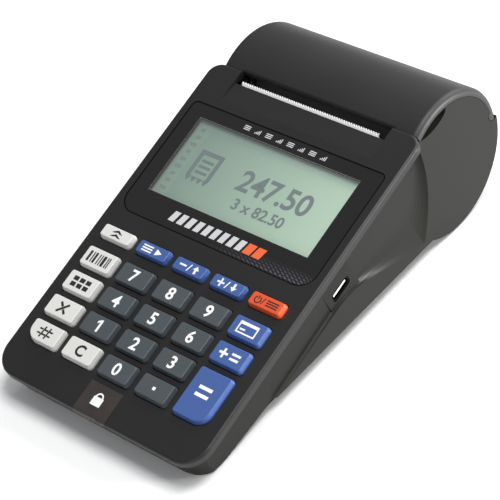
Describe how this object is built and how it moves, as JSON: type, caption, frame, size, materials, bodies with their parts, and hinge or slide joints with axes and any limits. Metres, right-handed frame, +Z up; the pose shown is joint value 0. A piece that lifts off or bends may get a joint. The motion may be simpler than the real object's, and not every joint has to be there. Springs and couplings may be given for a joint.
{
  "type": "portable ticket register",
  "caption": "Portable ticket register: a sloping deck with keys and a display, a paper slot with a tear bar, and a flip-up cover over the paper roll.",
  "frame": {"origin": "middle of the footprint, on the desk under the feet", "axes": "+X to the right of someone at the keys, +Y away from them to the paper cover, +Z up"},
  "size_m": [0.088, 0.1627, 0.0526],
  "materials": {
    "deck_plastic": "fine satin texture",
    "body_plastic": "fine satin texture",
    "cover_plastic": "fine satin texture",
    "lens": "clear sheet with a dark printed border",
    "display": "grey-green liquid crystal",
    "diffuser": "milky",
    "board": "green solder mask",
    "mat_rubber": "silicone",
    "foot_rubber": "moulded",
    "steel": "bright",
    "head_ceramic": "plain",
    "sink_aluminium": "plain",
    "gear_plastic": "natural acetal",
    "thermal_paper": "smooth",
    "core_board": "plain",
    "cell_wrap": "shrink wrap",
    "film": "smoky clear film",
    "light_key": "satin",
    "dark_key": "satin",
    "blue_key": "satin",
    "orange_key": "satin"
  },
  "bodies": {
    "housing": {"battery_door": "body_plastic", "battery_pack": "cell_wrap", "display_lens": "lens", "door_screws": "steel", "head_heat_sink": "sink_aluminium", "head_spring": "steel", "hinge_pin": "steel", "housing_screws": "steel", "idler_pin": "steel", "keypad_board": "board", "keypad_mat": "mat_rubber", "lcd_backlight": "diffuser", "lcd_board": "board", "lcd_glass": "display", "lower_housing": "body_plastic", "main_board": "board", "print_head": "head_ceramic", "print_motor": "steel", "printer_frame": "steel", "roll_cradle": "body_plastic", "rubber_feet": "foot_rubber", "seal_film": "film", "side_port": "steel", "tear_bar": "steel", "upper_housing": "deck_plastic"},
    "cover": {"roll_cover": "cover_plastic", "platen_bushings": "gear_plastic"},
    "platen": {"platen_shaft": "steel", "platen_sleeve": "mat_rubber", "platen_gear": "gear_plastic"},
    "idler": {"idler_gear": "gear_plastic"},
    "rotor": {"motor_shaft": "steel", "motor_pinion": "gear_plastic"},
    "roll": {"paper_roll": "thermal_paper", "roll_core": "core_board"},
    "key_0": {"key_0": "dark_key"},
    "key_1": {"key_1": "dark_key"},
    "key_2": {"key_2": "dark_key"},
    "key_3": {"key_3": "dark_key"},
    "key_4": {"key_4": "dark_key"},
    "key_5": {"key_5": "dark_key"},
    "key_6": {"key_6": "dark_key"},
    "key_7": {"key_7": "dark_key"},
    "key_8": {"key_8": "dark_key"},
    "key_9": {"key_9": "dark_key"},
    "key_clear": {"key_clear": "light_key"},
    "key_dep": {"key_dep": "light_key"},
    "key_feed": {"key_feed": "light_key"},
    "key_func": {"key_func": "blue_key"},
    "key_minus": {"key_minus": "blue_key"},
    "key_mode": {"key_mode": "orange_key"},
    "key_pay": {"key_pay": "blue_key"},
    "key_plu": {"key_plu": "light_key"},
    "key_plus": {"key_plus": "blue_key"},
    "key_point": {"key_point": "dark_key"},
    "key_qty": {"key_qty": "light_key"},
    "key_subtotal": {"key_subtotal": "blue_key"},
    "key_total": {"key_total": "blue_key"},
    "key_vd": {"key_vd": "light_key"}
  },
  "joints": [
    {"name": "cover_hinge", "type": "hinge", "parent": "housing", "child": "cover", "pos_m": [0, 0.07944, 0.03043], "axis": [-1, 0, 0], "range_deg": [0, 90]},
    {"name": "platen_spin", "type": "hinge", "parent": "cover", "child": "platen", "pos_m": [0, 0.04662, 0.04223], "axis": [1, 0, 0], "continuous": true},
    {"name": "idler_spin", "type": "hinge", "parent": "housing", "child": "idler", "pos_m": [0, 0.04253, 0.03086], "axis": [1, 0, 0], "continuous": true},
    {"name": "motor_spin", "type": "hinge", "parent": "housing", "child": "rotor", "pos_m": [0, 0.03169, 0.03185], "axis": [1, 0, 0], "continuous": true},
    {"name": "roll_spin", "type": "hinge", "parent": "housing", "child": "roll", "pos_m": [0, 0.05538, 0.0199], "axis": [1, 0, 0], "continuous": true},
    {"name": "key_0_press", "type": "slide", "parent": "housing", "child": "key_0", "axis": [0, 0.289, -0.9573], "range_m": [0, 0.0012], "stiffness_N_per_m": 400},
    {"name": "key_1_press", "type": "slide", "parent": "housing", "child": "key_1", "axis": [0, 0.289, -0.9573], "range_m": [0, 0.0012], "stiffness_N_per_m": 400},
    {"name": "key_2_press", "type": "slide", "parent": "housing", "child": "key_2", "axis": [0, 0.289, -0.9573], "range_m": [0, 0.0012], "stiffness_N_per_m": 400},
    {"name": "key_3_press", "type": "slide", "parent": "housing", "child": "key_3", "axis": [0, 0.289, -0.9573], "range_m": [0, 0.0012], "stiffness_N_per_m": 400},
    {"name": "key_4_press", "type": "slide", "parent": "housing", "child": "key_4", "axis": [0, 0.289, -0.9573], "range_m": [0, 0.0012], "stiffness_N_per_m": 400},
    {"name": "key_5_press", "type": "slide", "parent": "housing", "child": "key_5", "axis": [0, 0.289, -0.9573], "range_m": [0, 0.0012], "stiffness_N_per_m": 400},
    {"name": "key_6_press", "type": "slide", "parent": "housing", "child": "key_6", "axis": [0, 0.289, -0.9573], "range_m": [0, 0.0012], "stiffness_N_per_m": 400},
    {"name": "key_7_press", "type": "slide", "parent": "housing", "child": "key_7", "axis": [0, 0.289, -0.9573], "range_m": [0, 0.0012], "stiffness_N_per_m": 400},
    {"name": "key_8_press", "type": "slide", "parent": "housing", "child": "key_8", "axis": [0, 0.289, -0.9573], "range_m": [0, 0.0012], "stiffness_N_per_m": 400},
    {"name": "key_9_press", "type": "slide", "parent": "housing", "child": "key_9", "axis": [0, 0.289, -0.9573], "range_m": [0, 0.0012], "stiffness_N_per_m": 400},
    {"name": "key_clear_press", "type": "slide", "parent": "housing", "child": "key_clear", "axis": [0, 0.289, -0.9573], "range_m": [0, 0.0012], "stiffness_N_per_m": 400},
    {"name": "key_dep_press", "type": "slide", "parent": "housing", "child": "key_dep", "axis": [0, 0.289, -0.9573], "range_m": [0, 0.0012], "stiffness_N_per_m": 400},
    {"name": "key_feed_press", "type": "slide", "parent": "housing", "child": "key_feed", "axis": [0, 0.289, -0.9573], "range_m": [0, 0.0012], "stiffness_N_per_m": 400},
    {"name": "key_func_press", "type": "slide", "parent": "housing", "child": "key_func", "axis": [0, 0.289, -0.9573], "range_m": [0, 0.0012], "stiffness_N_per_m": 400},
    {"name": "key_minus_press", "type": "slide", "parent": "housing", "child": "key_minus", "axis": [0, 0.289, -0.9573], "range_m": [0, 0.0012], "stiffness_N_per_m": 400},
    {"name": "key_mode_press", "type": "slide", "parent": "housing", "child": "key_mode", "axis": [0, 0.289, -0.9573], "range_m": [0, 0.0012], "stiffness_N_per_m": 400},
    {"name": "key_pay_press", "type": "slide", "parent": "housing", "child": "key_pay", "axis": [0, 0.289, -0.9573], "range_m": [0, 0.0012], "stiffness_N_per_m": 400},
    {"name": "key_plu_press", "type": "slide", "parent": "housing", "child": "key_plu", "axis": [0, 0.289, -0.9573], "range_m": [0, 0.0012], "stiffness_N_per_m": 400},
    {"name": "key_plus_press", "type": "slide", "parent": "housing", "child": "key_plus", "axis": [0, 0.289, -0.9573], "range_m": [0, 0.0012], "stiffness_N_per_m": 400},
    {"name": "key_point_press", "type": "slide", "parent": "housing", "child": "key_point", "axis": [0, 0.289, -0.9573], "range_m": [0, 0.0012], "stiffness_N_per_m": 400},
    {"name": "key_qty_press", "type": "slide", "parent": "housing", "child": "key_qty", "axis": [0, 0.289, -0.9573], "range_m": [0, 0.0012], "stiffness_N_per_m": 400},
    {"name": "key_subtotal_press", "type": "slide", "parent": "housing", "child": "key_subtotal", "axis": [0, 0.289, -0.9573], "range_m": [0, 0.0012], "stiffness_N_per_m": 400},
    {"name": "key_total_press", "type": "slide", "parent": "housing", "child": "key_total", "axis": [0, 0.289, -0.9573], "range_m": [0, 0.0012], "stiffness_N_per_m": 400},
    {"name": "key_vd_press", "type": "slide", "parent": "housing", "child": "key_vd", "axis": [0, 0.289, -0.9573], "range_m": [0, 0.0012], "stiffness_N_per_m": 400}
  ],
  "couplings": [
    {"joint": "idler_spin", "follows": "platen_spin", "ratio": -0.66667},
    {"joint": "motor_spin", "follows": "platen_spin", "ratio": 1.3333}
  ]
}
